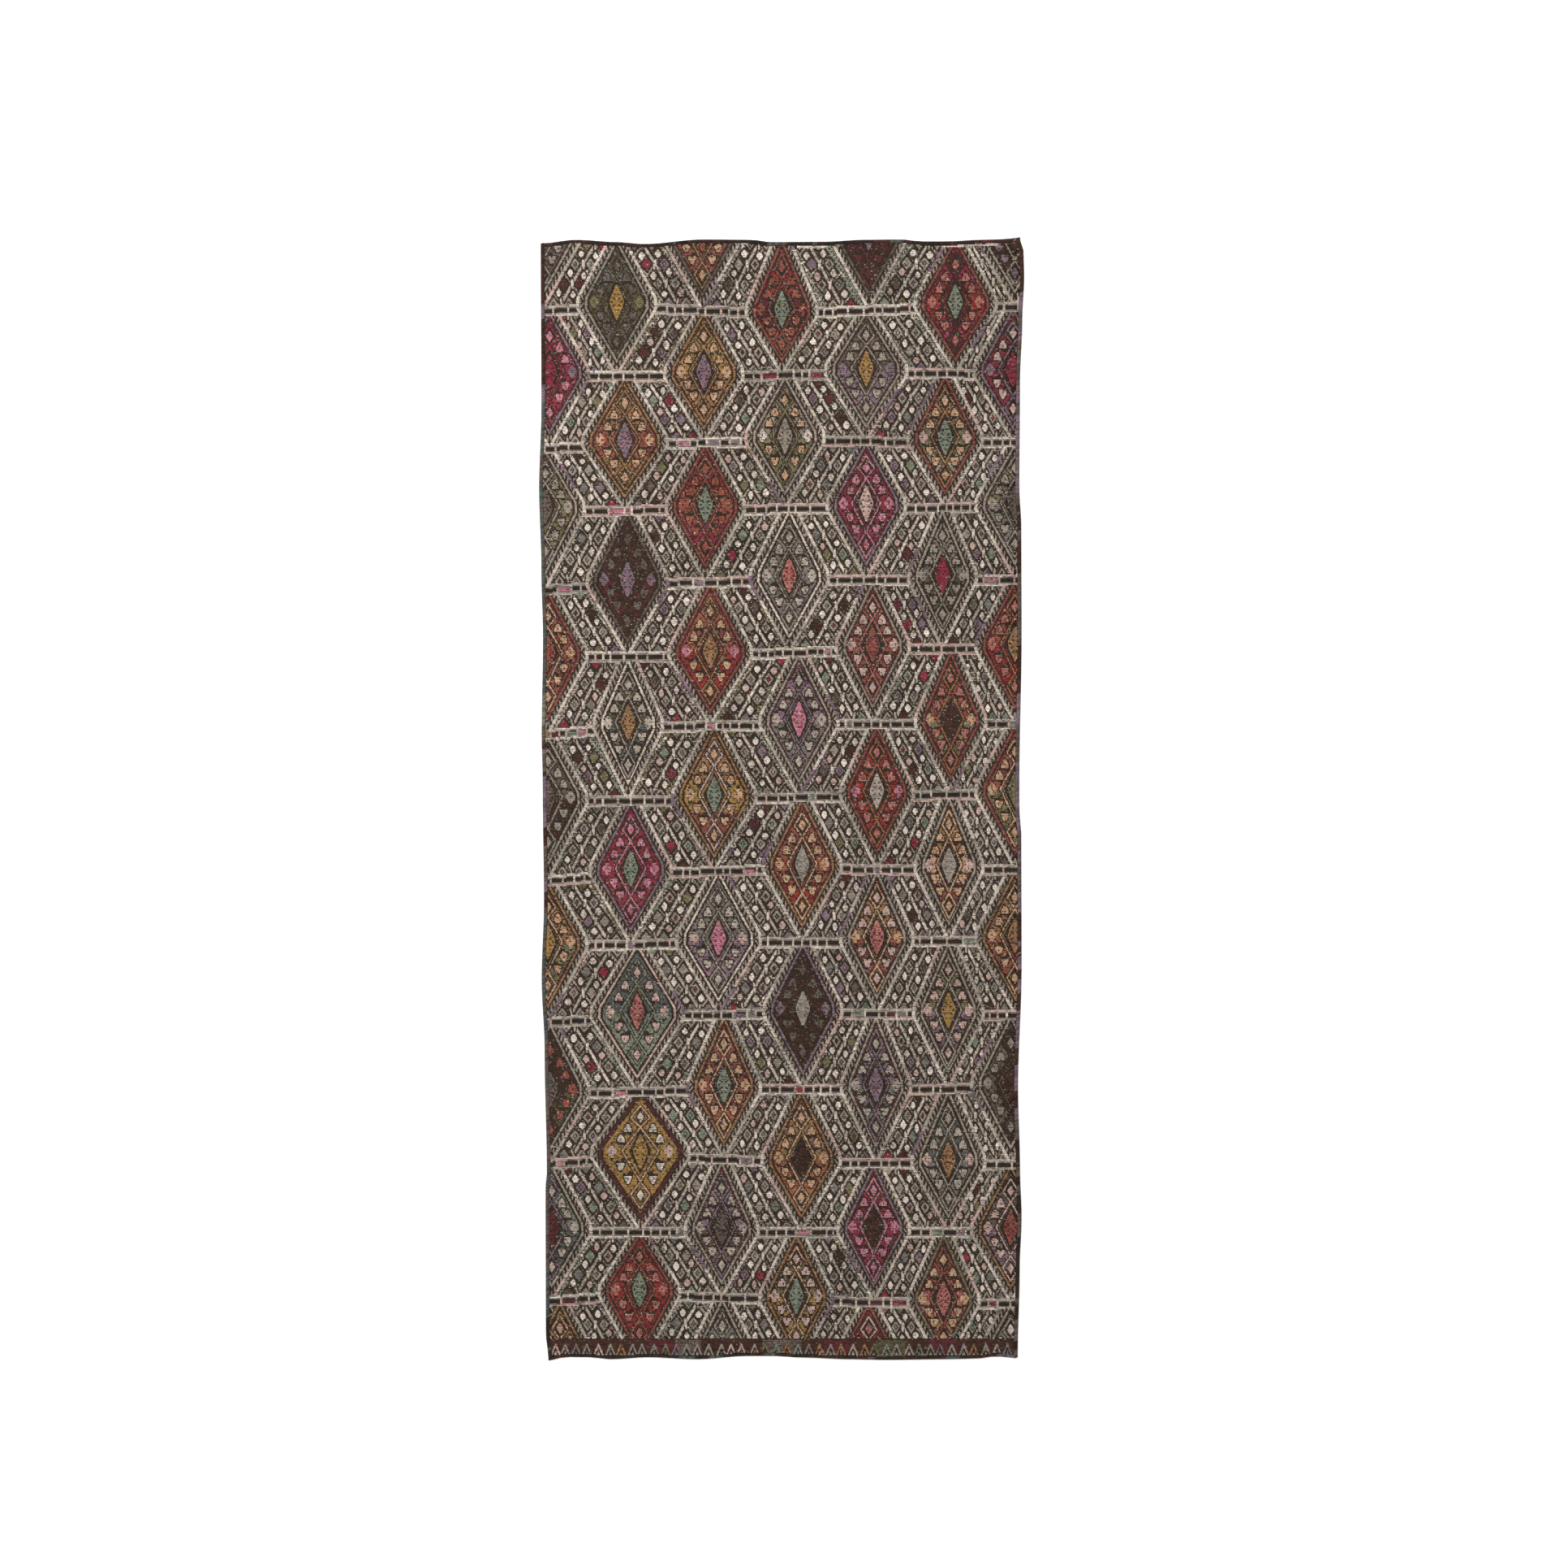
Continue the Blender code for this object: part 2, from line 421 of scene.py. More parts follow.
darkerSister = {
    **dict.fromkeys(("red", "rust", "crimson", "mauve", "coral", "brick"), "maroon"),
    **dict.fromkeys(("sage", "grey", "slate", "moss", "taupe", "brown", "maroon"), "charcoal"),
    "pink": "crimson",
    "oat": "grey",
    "sand": "taupe",
}  # the darker yarn worked beside each, brown for the rest


def railwayUp(row, across):
    places = [m[0] for m in medallionRows[row]]
    heights = [m[1] - railway["belowMiddle"] for m in medallionRows[row]]
    return np.interp(across, places, heights)


def sized(row, medallion):
    # the medallion's own reach up and down, between the railways above and below it
    across, up = medallion[:2]
    gap = railway["lineApart"] / 2
    reachUp, reachDown = shape["up"], shape["down"]
    if row > 0:
        reachUp = railwayUp(row - 1, across) - gap - up
    if row < len(medallionRows) - 1:
        reachDown = up - railwayUp(row + 1, across) - gap
    return reachUp, reachDown


def sideOut(row, medallion, height):
    # how far out the medallion's rope stands at a height above its middle
    reachUp, reachDown = sized(row, medallion)
    low, hip, shoulder, high = shape["sideUp"]
    out = np.add(shape["sideOut"], np.multiply(shape["girthShare"], medallion[2]))
    return np.interp(height, (-reachDown, hip, shoulder, reachUp), out)


def openings(x, y, lattice, opening):
    # small lozenges on a slanting lattice, left open to the ground
    wide, tall = lattice
    one = (x / wide + y / tall) % 1
    other = (x / wide - y / tall) % 1
    return (abs(one - 0.5) < opening) & (abs(other - 0.5) < opening)


def drawMedallion(row, medallion):
    across, up, girth, field, spots, fine, ring, heart = medallion
    reachUp, reachDown = sized(row, medallion)
    wide = shape["sideOut"][1] + girth
    reach = wide + 2 * shape["rope"]
    cells, x, y = block(across - reach, across + reach, up - reachDown, up + reachUp)
    height = y - up
    depth = sideOut(row, medallion, height) - abs(x - across)
    rungs = (abs(height) + shape["toothLean"] * depth) / shape["tooth"] % 1
    tooth = rungs < shape["toothShare"]
    paint(cells, depth > 0, None)
    paint(cells, (depth > 0) & (depth < shape["teeth"]) & ~tooth, "oat")
    paint(cells, (depth > shape["ladder"]) & (depth < shape["fineLine"]), fine)
    onRope = abs(depth) < shape["rope"]
    for half in (x < across), (x >= across):
        for start in np.arange(-reachDown, reachUp, shape["ropeRun"]):
            stretch = half & (height >= start) & (height < start + shape["ropeRun"])
            paint(cells, onRope & stretch, chance.choice(shape["ropeYarns"].split()))
    beads = (depth > shape["fineLine"]) & (depth < shape["darkBand"]) & (rungs > shape["bead"])
    shades = field.split("/")
    paint(cells, beads, darkerSister.get(shades[0], "brown"))
    inField = depth > shape["darkBand"]
    for turn, shade in enumerate(shades):
        start = shape["fieldTop"] - turn * shape["fieldTall"] / len(shades)
        paint(cells, inField & ((height < start) | (turn == 0)), shade)
    tall = reachUp / shape["up"], reachDown / shape["down"]

    def at(px, py):
        return across + px * wide / shape["sideOut"][1], up + py * tall[py < 0]

    footIn, footUp = motif["foot"]
    sideAt = motif["sideAt"]
    for side in (-1, 1):
        for px, py, point in motif["spots"]:
            foot = at(side * (px + footIn), py + footUp * point)
            lozenge(*foot, *motif["footSize"], None, motif["footBlunt"])
            tuft(*at(side * px, py), *motif["spotGround"], point, None)
            tuft(*at(side * px, py), *motif["spot"], point, spots.split("/")[0])
        for py in motif["sideGapsUp"]:
            lozenge(*at(side * sideAt, py), *motif["sideGap"], None)
        sideSpot = at(side * sideAt, motif["sideSpotUp"])
        lozenge(*sideSpot, *motif["sideSpot"], spots.split("/")[-1], motif["sideBlunt"])
        line([at(side * px, py) for px, py in motif["ring"]], motif["ringGround"], None)
    for side in (-1, 1):  # the two lines of the ring cross above and below the heart
        line([at(side * px, py) for px, py in motif["ring"]], motif["ringThick"], ring)
    gaps = openings(x - across, height, shape["lattice"], shape["opening"])
    paint(cells, gaps & inField, None)
    for py in motif["endSpotsUp"]:
        lozenge(*at(0, py), *motif["endSpotGround"], None)
        lozenge(*at(0, py), *motif["endSpot"], spots.split("/")[0])
    lozenge(*at(0, motif["heartUp"]), *motif["heartGround"], None)
    drawHeart(*at(0, motif["heartUp"]), heart)


heartSize = {
    "wide": 21.5,
    "tall": 53,
    "branchApart": 15,  # between the branches of the little tree that the heart holds
    "branchLean": 0.9,
    "branchThick": 0.36,
    "rim": 0.1,  # the share of it outside the branches
    "stem": 4,  # half the thickness of the tree's stem
    "blunt": 1.12,
}


def drawHeart(across, up, yarn):
    wide, tall = heartSize["wide"], heartSize["tall"]
    lozenge(across, up, wide, tall, yarn, heartSize["blunt"])
    cells, x, y = block(across - wide, across + wide, up - tall, up + tall)
    away, height = abs(x - across), abs(y - up)
    branch = (height - heartSize["branchLean"] * away) / heartSize["branchApart"] % 1
    inside = (away / wide + height / tall < 1 - heartSize["rim"]) & (away > heartSize["stem"])
    dark = darkerSister.get(yarn, "brown")
    paint(cells, inside & (branch < heartSize["branchThick"]), dark)


def drawRailway(row, first, second):
    start = first[0] + sideOut(row, first, -railway["belowMiddle"])
    stop = second[0] - sideOut(row, second, -railway["belowMiddle"])
    half = railway["lineApart"] / 2
    heights = [float(railwayUp(row, place)) for place in (start, stop)]
    ends = (start, heights[0]), (stop, heights[1])
    line(ends, railway["lineApart"], "grey")
    line(ends, railway["dash"], "charcoal")
    for way in (-half, half):
        route = [(x, y + way) for x, y in ends]
        line(route, railway["lineThick"], chance.choice(railway["yarns"].split()))
    place = start + railway["tie"] * chance.uniform(*railway["firstTie"])
    while place < stop - railway["endGap"]:
        middle = float(railwayUp(row, place))
        tie = [(place, middle - half), (place, middle + half)]
        step = railway["tie"] * chance.uniform(*railway["tieStep"])
        if chance.random() < railway["odd"]:
            odd = [(place, middle), (place + step * railway["oddLong"], middle)]
            line(odd, railway["dash"], chance.choice(railway["oddYarns"].split()))
        line(tie, railway["tieThick"], chance.choice(railway["yarns"].split()))
        place += step


# The slanting strips between the medallions: a stem with drops and seeds on both its sides.
panel = {
    "topAt": 75,  # its rails are read this far across from the medallion below it
    "bottomAt": 160,
    "usual": 243,  # how far apart the medallions on its two sides usually stand
    "slimmest": 0.5,  # how much its motifs shrink or grow across where they don't
    "widest": 1.1,
    "border": 7.5,  # the dark line between the filling and the ropes
    "stemGround": 9.6,  # how much dark ground shows beside the stem, both sides together
    "branchGround": 7.68,
    "seedGround": (7.2, 9.6),  # how much shows beside a seed and above it
    "dropGround": (7.68, 9.6),
    "filling": "oat oat sand sand sand ecru putty",
    "mood": "sage mauve grey olive rose mauve sage oat",
    "moodTimes": 5,  # how often the panel's own mood comes between the filling's yarns
    "patch": (8, 2),  # steps across and rows that one patch of filling takes
    "lattice": (14, 18),  # the little dark openings between its filling stitches
    "opening": 0.25,
    "stem": 8,
    "stemYarns": "ecru sand sand",
    "stemFrom": 0.02,
    "knots": (0.07, 0.348, 0.629, 0.91),  # how far down the panel its stem has knots
    "stemAt": (0.413, 0.455, 0.464, 0.5),
    "crossKnot": (9, 14),  # a pale stitch across the two middle knots
    "near": -24,  # how far from the stem the drops and the seeds stand
    "far": 26,
    "branch": 6,
    "nearDrops": (0.24, 0.523, 0.784),  # drops between the stem and the medallion below
    "farDrops": (0.212, 0.476, 0.755),
    "drop": (8.4, 11.4),
    "dropBlunt": 1.25,
    "dropGroundBlunt": 1.15,
    "dropYarns": "white white white white white ecru ecru rose",
    "unevenDrop": (0.85, 1.15),
    "seeds": (0.075, 0.355, 0.632, 0.915),
    "seed": (13, 18),
    "seedBlunt": 1.08,
    "seedYarns": "oat sage mauve maroon grey brown crimson olive grey putty grey taupe mauve sage",
    "wholeSeeds": 0.3,  # the share of seeds without an eye
    "colouredSeeds": 0.5,  # and of those that aren't pale
    "seedEye": (0.55, 0.6),
    "seedPupil": (0.3, 0.4),
}


def fillPanel(row, lower, upper, side, top, bottom):
    reach = sorted((lower[0], upper[0]))
    cells, x, y = block(reach[0], reach[1], bottom, top)
    inner = lower[0] + side * sideOut(row, lower, y - lower[1])
    outer = upper[0] - side * sideOut(row - 1, upper, y - upper[1])
    inside = ((x - inner) * side > panel["border"]) & ((outer - x) * side > panel["border"])
    inside &= ~openings(x, y, panel["lattice"], panel["opening"])
    part = chart[cells]
    if not part.size:
        return
    names = panel["filling"].split()
    names += [chance.choice(panel["mood"].split())] * panel["moodTimes"]
    codes = np.array([yarnCode[name] for name in names], np.uint8)
    wide, tall = panel["patch"]
    coarse = (part.shape[0] // tall + 1, part.shape[1] // wide + 1)
    patches = codes[chance.integers(0, len(names), coarse)]
    part[inside] = enlarged(patches, wide, tall, part.shape)[inside]


def drawPanel(row, lower, upper, side):
    top = float(railwayUp(row - 1, lower[0] + side * panel["topAt"]))
    bottom = float(railwayUp(row, lower[0] + side * panel["bottomAt"]))
    fillPanel(row, lower, upper, side, top, bottom)
    slim = (upper[0] - lower[0]) * side / panel["usual"]
    slim = min(max(slim, panel["slimmest"]), panel["widest"])

    def at(share, fall, away=0):
        up = top + (bottom - top) * fall
        inner = lower[0] + side * sideOut(row, lower, up - lower[1])
        outer = upper[0] - side * sideOut(row - 1, upper, up - upper[1])
        return inner + (outer - inner) * share + side * away * slim, up

    def stemAt(fall):
        return np.interp(fall, panel["knots"], panel["stemAt"])

    def spot(x, y, size, yarn, blunt=1.0):
        lozenge(x, y, size[0] * slim, size[1], yarn, blunt)

    near, far, blunt = panel["near"], panel["far"], panel["seedBlunt"]
    knots = [at(s, t) for s, t in zip(panel["stemAt"], panel["knots"])]
    stem = [at(stemAt(0), panel["stemFrom"]), *knots, at(stemAt(1), 1.0)]
    line(stem, panel["stem"] + panel["stemGround"], None)
    seed = np.array(panel["seed"])
    for fall in panel["seeds"]:
        for away in (near, far):
            shade = chance.choice(panel["seedYarns"].split())
            place = at(stemAt(fall), fall, away)
            spot(*place, seed + panel["seedGround"], None, blunt)
            kind = chance.random()
            spot(*place, seed, shade if kind < panel["colouredSeeds"] else "oat", blunt)
            if kind > panel["wholeSeeds"]:
                spot(*place, seed * panel["seedEye"], None)
                spot(*place, seed * panel["seedPupil"], shade)
    line(stem, panel["stem"], chance.choice(panel["stemYarns"].split()))
    for falls, away, step in ((panel["nearDrops"], near, 0), (panel["farDrops"], far, 1)):
        for turn, fall in enumerate(falls):
            place = at(stemAt(fall), fall, away)
            branch = [knots[turn + step], place]
            line(branch, panel["branch"] + panel["branchGround"], None)
            line(branch, panel["branch"], "sand")
            drop = np.array(panel["drop"]) * chance.uniform(*panel["unevenDrop"], 2)
            spot(*place, drop + panel["dropGround"], None, panel["dropGroundBlunt"])
            spot(*place, drop, chance.choice(panel["dropYarns"].split()), panel["dropBlunt"])
    wide, tall = panel["crossKnot"]
    for x, y in knots[1:3]:
        line([(x, y - tall / 2), (x, y + tall / 2)], wide, "ecru")


def drawField():
    for row, medallions in enumerate(medallionRows[1:], 1):
        for lower in medallions:
            above = medallionRows[row - 1]
            for upper in [m for m in above if m[0] > lower[0]][:1]:
                drawPanel(row, lower, upper, 1)
            for upper in [m for m in above if m[0] < lower[0]][-1:]:
                drawPanel(row, lower, upper, -1)
    for row, medallions in enumerate(medallionRows):
        for first, second in zip(medallions, medallions[1:]):
            drawRailway(row, first, second)
    for row, medallions in enumerate(medallionRows):
        for medallion in medallions:
            drawMedallion(row, medallion)


border = {
    "low": -1716,
    "high": -1662,
    "line": 3,  # the dark line along its top
    "arch": 34,  # from one arch to the next
    "archWide": 1.02,
    "archShort": 12,  # how far below the border's top the arches end
    "archThick": 6,
    "archGap": 5,  # between an arch and the small one inside it
    "unevenArch": (0.4, 0.6),
    "yarns": "putty oat putty oat grey sage olive rose camel mauve",
    "ground": (
        (-750, "brown"), (-410, "maroon"), (-330, "taupe"), (-250, "brown"), (-60, "taupe"),
        (60, "brown"), (130, "maroon"), (210, "brown"), (290, "moss"), (380, "brown"),
        (450, "maroon"), (540, "brown"),
    ),  # from how far across each yarn is used between the arches
    "below": 30,  # how far down from the arches its ground reaches
    "dotApart": 9,
    "dotTall": 6,
    "dotShare": 0.4,
}
topRow = {
    "pale": ((47, 142), (492, 667)),  # where a pale row runs under the top end's overcast
    "up": 1708,
    "waver": 20,
    "down": 9,
    "tall": 6,
}


def drawBorder():
    # a band of arches across the bottom end
    low, high, thick = border["low"], border["high"], border["archThick"]
    halfWidth, arch = weave["halfWidth"], border["arch"]
    cells, x, y = block(-halfWidth, halfWidth, low - border["below"], high)
    paint(cells, y < high, None)
    for start, yarn in border["ground"]:
        paint(cells, (y < high - border["line"]) & (x > start), yarn)
    rise = (y - low) / (high - low - border["archShort"])
    inside = (rise > 0) & (rise < 1)
    for start in np.arange(-halfWidth, halfWidth, arch):
        middle = start + arch * chance.uniform(*border["unevenArch"])
        depth = arch / 2 * (border["archWide"] - rise) - abs(x - middle)
        yarn = chance.choice(border["yarns"].split())
        paint(cells, inside & (depth > 0), yarn)
        paint(cells, inside & (depth > thick), None)
        paint(cells, inside & (depth > thick + border["archGap"]), yarn)
    dots = (y < low) & (y > low - border["dotTall"])
    paint(cells, dots & (x / border["dotApart"] % 1 < border["dotShare"]), "oat")


def drawTopRow():
    for left, right in topRow["pale"]:
        low, high = topRow["up"] - topRow["waver"], topRow["up"] + topRow["waver"]
        cells, x, y = block(left, right, low, high)
        low = edge("top", x) - topRow["down"]
        paint(cells, (y > low) & (y < low + topRow["tall"]), "ecru")


drawField()
drawBorder()
drawTopRow()

# Odd stitches where the weaver's yarn changed or the ground shows: the share of each yarn's
# stitches that they take, and their yarns.
flecks = {
    None: (0.14, "taupe grey taupe grey putty brown taupe olive"),
    "ecru": (0.12, "oat sand rose sand grey"),
    "sand": (0.12, "oat rose putty oat grey"),
    "grey": (0.12, "oat olive mauve sage"),
    "sage": (0.12, "grey olive oat"),
    "olive": (0.12, "gold grey oat"),
    "gold": (0.10, "tan olive orange"),
    "tan": (0.10, "rust oat gold"),
    "orange": (0.12, "rust gold red"),
    "rust": (0.14, "red orange tan maroon"),
    "red": (0.14, "rust crimson maroon orange"),
    "crimson": (0.12, "red pink maroon mauve"),
    "pink": (0.10, "rose crimson mauve"),
    "mauve": (0.12, "grey pink oat maroon"),
    "brown": (0.12, "maroon taupe charcoal"),
    "taupe": (0.15, "grey brown mauve"),
    "slate": (0.15, "grey sage moss"),
    "moss": (0.15, "olive brown taupe"),
    "camel": (0.15, "tan orange olive brown"),
    "brick": (0.15, "rust coral maroon mauve"),
    "coral": (0.12, "rust red tan"),
}
fleckSize = (4, 1)  # steps across and rows


def fleck(over, share, names):
    wide, tall = fleckSize
    coarse = (chart.shape[0] // tall + 1, chart.shape[1] // wide + 1)
    codes = np.array([yarnCode[name] for name in names.split()], np.uint8)
    codes = codes[chance.integers(0, len(codes), coarse)]
    hit = chance.random(coarse) < share
    codes, hit = (enlarged(values, wide, tall, chart.shape) for values in (codes, hit))
    hit &= chart == yarnCode.get(over, 0)
    chart[hit] = codes[hit]


for over, (share, names) in flecks.items():
    fleck(over, share, names)


def joinSlivers():
    # a run one or two steps wide is too narrow for a stitch, so the yarns beside it take it in
    last = chart.shape[1] - 2
    for column in range(1, last):
        before, here, after, second = (chart[:, column + k] for k in (-1, 0, 1, 2))
        starts = (here > 0) & (here != before)
        single = starts & (here != after)
        double = starts & (here == after) & (here != second)
        taken = np.where(before > 0, before, after)
        chart[:, column] = np.where(single & (taken > 0), taken, chart[:, column])
        apart = double & (before > 0) & (second > 0)
        chart[:, column] = np.where(apart, before, chart[:, column])
        chart[:, column + 1] = np.where(apart, chart[:, column + 2], chart[:, column + 1])


joinSlivers()
print("chart drawn")


# Handspun sheep's wool, dyed in the skein and woven in by hand. It gives the eye a matt,
# streaky yarn, paler along its fibres, whose shade drifts from one batch of dye to the next.
# The fibres are drawn about four times as coarse as real ones, or none would show.
woolLook = {
    "streakLong": 9.0,
    "streakWide": 1.1,
    "streakDeep": 2.5,
    "batchLong": 420.0,
    "batchWide": 90.0,
    "strandWide": 1.33,  # three strands lie side by side in a row of brocade
    "turn": 0.35,  # how far a twisted strand turns from its row
    "dark": 0.30,
    "light": 1.50,
    "streakShare": 0.55,
    "batchShare": 0.45,
    "smoothest": 0.80,  # along the paler fibres
    "roughest": 0.97,
    "relief": 0.45,
    "bumpStrength": 0.7,
    "strandHeight": 0.6,  # next to a fibre's
    "ribHeight": 1.4,
    "specular": 0.12,
    "sheen": 0.04,
    "sheenRoughness": 0.6,
    "ior": 1.55,
}
waveUnit = math.pi / 10  # the period of Blender's wave texture at a scale of 1


def handspunWool(name, hexColour, look=woolLook, dyed=False):
    material, tree = newMaterial(name)
    place = addNode(tree, "TexCoord").outputs["Object"]
    turned = {"Vector": place, "Rotation": (0, 0, look["turn"])}
    turned = addNode(tree, "Mapping", turned).outputs[0]
    scale = [1000 / look[side] for side in ("streakLong", "streakWide", "streakDeep")]
    streaks = addNode(tree, "Mapping", {"Vector": turned, "Scale": scale}).outputs[0]
    streaks = {"Vector": streaks, "Scale": 1.0, "Detail": 3.0}
    streaks = addNode(tree, "TexNoise", streaks).outputs[0]
    scale = (1000 / look["batchLong"], 1000 / look["batchWide"], 1)
    batches = addNode(tree, "Mapping", {"Vector": place, "Scale": scale}).outputs[0]
    batches = {"Vector": batches, "Scale": 1.0, "Detail": 2.0}
    batches = addNode(tree, "TexNoise", batches).outputs[0]

    # from dark to light by batch, by stitch and along the fibres, and darker where the tint holds
    # painted shade at stitch feet and wrap waists
    tint = addNode(tree, "Attribute", attribute_name="tint").outputs["Fac"]
    drift = {0: batches, 1: look["batchShare"], 2: tint}
    drift = addNode(tree, "Math", drift, operation="MULTIPLY_ADD").outputs[0]
    drift = {0: streaks, 1: look["streakShare"], 2: drift}
    drift = addNode(tree, "Math", drift, operation="MULTIPLY_ADD").outputs[0]
    share = {0: drift, 1: (look["batchShare"] + look["streakShare"]) / 2}
    share = addNode(tree, "Math", share, operation="SUBTRACT", use_clamp=True).outputs[0]
    colour = {0: share, 6: linear(hexColour, look["dark"]), 7: linear(hexColour, look["light"])}
    colour = addNode(tree, "Mix", colour, data_type="RGBA").outputs[2]
    if dyed:  # each wrap carries its own dye
        dye = addNode(tree, "Attribute", attribute_name="dye").outputs["Color"]
        colour = {0: 1.0, 6: colour, 7: dye}
        colour = addNode(tree, "Mix", colour, data_type="RGBA", blend_type="MULTIPLY").outputs[2]

    roughness = {
        "Value": streaks,
        "From Min": 0.3,
        "From Max": 0.7,
        "To Min": look["smoothest"],
        "To Max": look["roughest"],
    }
    roughness = addNode(tree, "MapRange", roughness).outputs[0]

    # the strands of a row, with the fibres on them
    strands = {
        "Vector": turned,
        "Scale": waveUnit * 1000 / look["strandWide"],
        "Distortion": 1.6,
        "Detail": 2.0,
        "Detail Scale": 1.5,
    }
    strands = addNode(tree, "TexWave", strands, bands_direction="Y").outputs["Fac"]
    height = {0: strands, 1: look["strandHeight"], 2: streaks}
    height = addNode(tree, "Math", height, operation="MULTIPLY_ADD").outputs[0]
    if "ribWide" in look:  # plain weave, whose wefts rise over one warp and dip under the next
        ribs = {
            "Vector": place,
            "Scale": waveUnit * 1000 / look["ribWide"],
            "Distortion": 1.0,
            "Detail": 1.0,
        }
        ribs = addNode(tree, "TexWave", ribs, bands_direction="X").outputs["Fac"]
        height = {0: ribs, 1: look["ribHeight"], 2: height}
        height = addNode(tree, "Math", height, operation="MULTIPLY_ADD").outputs[0]
    bump = {"Height": height, "Distance": look["relief"] / 1000, "Strength": look["bumpStrength"]}
    bump = addNode(tree, "Bump", bump).outputs[0]

    wool = {
        "Base Color": colour,
        "Roughness": roughness,
        "Normal": bump,
        "IOR": look["ior"],
        "Specular IOR Level": look["specular"],
        "Sheen Weight": look["sheen"],
        "Sheen Roughness": look["sheenRoughness"],
    }
    shader = addNode(tree, "BsdfPrincipled", wool).outputs[0]
    addNode(tree, "OutputMaterial", {0: shader})
    material.diffuse_color = linear(hexColour)
    return material


# The ground: a close weft-faced cloth in dark wool, closed underneath and at its rim.
ground = {
    "colour": "#2b231d",
    "top": 2.3,
    "cell": 40.0,
    "settle": 8,  # passes that bring its points to the wavy edges
    "tint": 0.3,
}
flatMap = {
    "fill": 0.98,  # how much of its map a piece's flat shape fills
    "groundFill": (0.47, 0.98),  # the ground's top lies on the left half, its underside right
    "groundMiddle": (0.25, 0.5),
    "underside": 0.5,
    "rim": 0.002,
}
groundLook = {
    **woolLook,
    "turn": 0.0,
    "ribWide": 2.6,  # its warps, two to a rib
    "streakLong": 5.0,
    "streakWide": 3.0,
    "dark": 0.2,
    "light": 3.4,
    "streakShare": 1.6,
    "batchShare": 0.3,
    "specular": 0.05,
    "sheen": 0.0,
}


def layGround():
    size = clothHigh - clothLow
    columns, rows = (round(side / ground["cell"]) + 1 for side in size)
    across = np.linspace(0, 1, columns)[None, :]
    along = np.linspace(0, 1, rows)[:, None]
    x = clothLow[0] + across * size[0] + along * 0
    for _ in range(ground["settle"]):
        y = edge("bottom", x) + along * (edge("top", x) - edge("bottom", x))
        x = edge("left", y) + across * (edge("right", y) - edge("left", y))
    top = np.stack([x, y, np.full_like(x, ground["top"])], axis=-1).reshape(-1, 3)
    under = top * (1, 1, 0)
    place = np.arange(rows * columns).reshape(rows, columns)
    quads = np.stack([place[:-1, :-1], place[:-1, 1:], place[1:, 1:], place[1:, :-1]], axis=-1)
    quads = quads.reshape(-1, 4)
    below = quads[:, ::-1] + rows * columns
    loop = np.concatenate([place[0, :-1], place[:-1, -1], place[-1, :0:-1], place[:0:-1, 0]])
    after = np.roll(loop, -1)
    rimQuads = np.stack([loop + rows * columns, after + rows * columns, after, loop], axis=-1)
    allQuads = np.concatenate([quads, below, rimQuads])
    points = np.concatenate([top, under])
    mesh = meshFrom("ground_cloth", points, allQuads)
    unit = points[:, :2] / size * flatMap["groundFill"]
    places = unit[cornersOf(mesh)] + flatMap["groundMiddle"]
    side = len(quads) * 4
    places[side : side * 2, 0] += flatMap["underside"]
    rimPlaces = places[side * 2 :].reshape(-1, 4, 2)
    rimPlaces[:, :2] = rimPlaces[:, 2:][:, ::-1] + flatMap["rim"]
    addMap(mesh, places)
    addTint(mesh, np.full(len(points), ground["tint"]))
    return mesh


groundWool = handspunWool("dark_ground_wool", ground["colour"], groundLook)
groundCloth = addPiece("ground_cloth", layGround(), groundWool)
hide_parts("woven_panel")
print("ground laid")

# The brocade: each run of one yarn in the chart is laid in as stitches, little loaves of wool
# that stand proud of the ground.
stitch = {
    "longest": 12.0,
    "shortest": 5.2,  # a shorter one is a bead
    "least": 1.2,  # and one shorter than this is left out
    "clearOfSides": 1,  # how far in from the cloth's edges the brocade stays
    "clearOfEnds": 2,
    "end": 1.2,  # how far a stitch takes to rise from the ground
    "halfWide": 2.0,
    "crest": 4.0,
    "foot": 2.2,
    "unevenWide": 0.12,
    "unevenCrest": 0.4,
    "unevenEnd": 0.3,
    "slant": 0.7,  # its ply runs slightly askew
    "lean": 0.6,  # and so do its ends
    "tint": 0.76,
    "footPaintedShade": -0.56,  # painted shade: a stitch's feet take a darker tint, as less light gets down between two rows
    "unevenTint": 0.12,
    "dullShare": 0.10,  # a share of stitches, picked at random, whose tint is darker
    "dullTint": 0.2,
}


def stitchesOf(code):
    # left end, right end and place up of every stitch of one yarn
    inside = np.pad(chart == code, ((0, 0), (1, 1)))
    row, start = np.nonzero(inside[:, 1:] & ~inside[:, :-1])
    stop = np.nonzero(inside[:, :-1] & ~inside[:, 1:])[1]
    up = rowUp[row]
    left, right = (-weave["halfWidth"] + place * weave["column"] for place in (start, stop))
    left = np.maximum(left, edge("left", up) + stitch["clearOfSides"])
    right = np.minimum(right, edge("right", up) - stitch["clearOfSides"])
    middle = (left + right) / 2
    keep = right - left > stitch["least"]
    keep &= up < edge("top", middle) - stitch["clearOfEnds"]
    keep &= up > edge("bottom", middle) + stitch["clearOfEnds"]
    left, right, up = left[keep], right[keep], up[keep]
    count = np.ceil((right - left) / stitch["longest"]).astype(int)
    part = np.arange(count.sum()) - np.repeat(np.cumsum(count) - count, count)
    left, right, up, count = (np.repeat(v, count) for v in (left, right, up, count))
    step = (right - left) / count
    return left + part * step, left + (part + 1) * step, up


